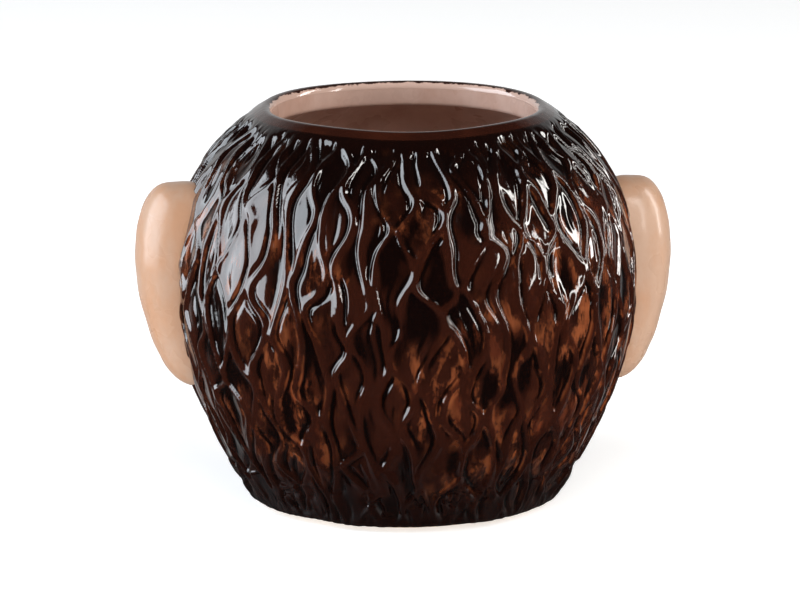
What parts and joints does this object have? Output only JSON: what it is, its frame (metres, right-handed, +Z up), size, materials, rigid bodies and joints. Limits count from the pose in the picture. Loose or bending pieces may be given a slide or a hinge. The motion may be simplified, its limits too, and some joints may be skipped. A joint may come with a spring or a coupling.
{
  "type": "animal head mug",
  "caption": "Round hair-covered animal head mug with a wide open mouth on top, tan luted ears, a plain face in relief and a ring foot.",
  "frame": {"origin": "on the mug's axis at the underside of the foot ring, the plane it stands on", "axes": "+Z is up, through the open mouth; +Y is the way the face looks, so the hair-covered back faces -Y; +X runs through the head's own right ear"},
  "size_m": [0.135, 0.1266, 0.1],
  "materials": {
    "clay": "unglazed, fired",
    "liner_glaze": "gloss",
    "hair_glaze": "high gloss, breaking red-brown on the ridges",
    "ear_glaze": "gloss, faintly mottled",
    "face_glaze": "gloss, faintly mottled",
    "eye_glaze": "gloss",
    "pupil_glaze": "high gloss"
  },
  "bodies": {
    "root": {"body_shell": "clay", "foot_ring": "clay", "liner_glaze": "liner_glaze", "lip_band": "hair_glaze", "back_hair_coat": "hair_glaze", "front_hair_coat": "hair_glaze", "left_ear": "ear_glaze", "right_ear": "ear_glaze", "face_plate": "face_glaze", "muzzle": "face_glaze", "nose": "hair_glaze", "left_eye": "eye_glaze", "right_eye": "eye_glaze", "left_pupil": "pupil_glaze", "right_pupil": "pupil_glaze", "left_brow": "hair_glaze", "right_brow": "hair_glaze"}
  },
  "joints": []
}
